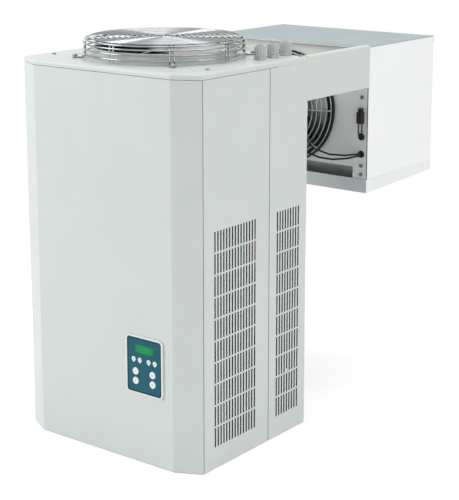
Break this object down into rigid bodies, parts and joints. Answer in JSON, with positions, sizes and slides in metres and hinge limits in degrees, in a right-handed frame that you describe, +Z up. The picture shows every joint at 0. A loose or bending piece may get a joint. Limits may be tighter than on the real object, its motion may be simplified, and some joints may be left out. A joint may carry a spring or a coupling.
{
  "type": "monoblock refrigeration unit",
  "caption": "Saddle-mounted cold room cooling unit: slotted condensing cabinet with top fan outside the wall, fan evaporator inside, joined by a neck.",
  "frame": {"origin": "middle of the neck's underside, which rests in the wall's cut, over the middle of the wall", "axes": "+X to the right seen from the keypad, +Y from the condensing unit through the wall into the room, +Z up"},
  "size_m": [0.424, 0.8416, 0.761],
  "materials": {
    "painted_sheet": "powder coat, satin",
    "galvanised_sheet": "zinc, dull",
    "white_sheet": "coated sheet, satin",
    "evaporator_metal": "mill finish",
    "tray_aluminium": "mill finish",
    "chrome_wire": "bright plated wire",
    "fan_aluminium": "stamped, bright",
    "fin_aluminium": "fin stock",
    "copper_pipe": "drawn copper",
    "brass_fitting": "turned",
    "black_enamel": "gloss enamel",
    "black_rubber": "moulded",
    "black_plastic": "moulded",
    "foam": "rigid foam",
    "board": "coated board",
    "keypad_teal": "printed film",
    "keypad_white": "moulded",
    "display_green": "tinted window",
    "gland_grey": "moulded",
    "screw_steel": "zinc, dark",
    "heater_steel": "sheathed rod"
  },
  "bodies": {
    "root": {"base_tray": "galvanised_sheet", "front_cover": "painted_sheet", "side_panel_left": "painted_sheet", "side_panel_right": "painted_sheet", "rear_side_panel_left": "painted_sheet", "rear_side_panel_right": "painted_sheet", "top_cover": "painted_sheet", "back_plate": "galvanised_sheet", "neck_floor": "galvanised_sheet", "neck_plug": "foam", "neck_end_channel": "galvanised_sheet", "condenser_fan_ring": "painted_sheet", "condenser_fan_guard": "chrome_wire", "condenser_fan_motor": "black_enamel", "condenser_fan_bracket": "galvanised_sheet", "condenser_fins": "fin_aluminium", "condenser_tubes": "copper_pipe", "condenser_end_plates": "galvanised_sheet", "compressor": "black_enamel", "compressor_mounts": "black_rubber", "compressor_terminal_box": "black_plastic", "liquid_receiver": "black_enamel", "filter_drier": "copper_pipe", "discharge_pipe": "copper_pipe", "condenser_outlet_pipe": "copper_pipe", "liquid_pipe": "copper_pipe", "expansion_valve": "brass_fitting", "evaporator_feed_pipe": "copper_pipe", "suction_pipe": "copper_pipe", "electric_box": "galvanised_sheet", "control_board": "board", "keypad_plate": "keypad_teal", "keypad_bezel": "keypad_white", "display_window": "display_green", "indicators": "keypad_white", "cable_glands": "gland_grey", "gland_nuts": "gland_grey", "casing_screws": "screw_steel", "evaporator_top": "evaporator_metal", "evaporator_side_left": "white_sheet", "evaporator_side_right": "white_sheet", "evaporator_front_frame": "evaporator_metal", "evaporator_fan_plate": "evaporator_metal", "evaporator_outlet_frame": "evaporator_metal", "evaporator_fan_ring": "black_plastic", "evaporator_fan_guard": "chrome_wire", "evaporator_fan_motor": "black_enamel", "evaporator_fins": "fin_aluminium", "evaporator_tubes": "copper_pipe", "evaporator_end_plates": "galvanised_sheet", "drip_tray": "tray_aluminium", "drain_spigot": "black_plastic", "defrost_heater": "heater_steel", "wall_side_wiring": "black_rubber"},
    "condenser_fan": {"condenser_fan_blades": "fan_aluminium"},
    "evaporator_fan": {"evaporator_fan_blades": "fan_aluminium"},
    "button_1": {"button_1": "keypad_white"},
    "button_2": {"button_2": "keypad_white"},
    "button_3": {"button_3": "keypad_white"},
    "button_4": {"button_4": "keypad_white"}
  },
  "joints": [
    {"name": "condenser_fan_spin", "type": "hinge", "parent": "root", "child": "condenser_fan", "pos_m": [0, -0.21, 0.084], "axis": [0, 0, 1], "continuous": true},
    {"name": "evaporator_fan_spin", "type": "hinge", "parent": "root", "child": "evaporator_fan", "pos_m": [0, 0.187, -0.059], "axis": [0, 1, 0], "continuous": true},
    {"name": "button_1_press", "type": "slide", "parent": "root", "child": "button_1", "axis": [0, 1, 0], "range_m": [0, 0.0008], "stiffness_N_per_m": 400, "springref_m": -0.0004},
    {"name": "button_2_press", "type": "slide", "parent": "root", "child": "button_2", "axis": [0, 1, 0], "range_m": [0, 0.0008], "stiffness_N_per_m": 400, "springref_m": -0.0004},
    {"name": "button_3_press", "type": "slide", "parent": "root", "child": "button_3", "axis": [0, 1, 0], "range_m": [0, 0.0008], "stiffness_N_per_m": 400, "springref_m": -0.0004},
    {"name": "button_4_press", "type": "slide", "parent": "root", "child": "button_4", "axis": [0, 1, 0], "range_m": [0, 0.0008], "stiffness_N_per_m": 400, "springref_m": -0.0004}
  ]
}
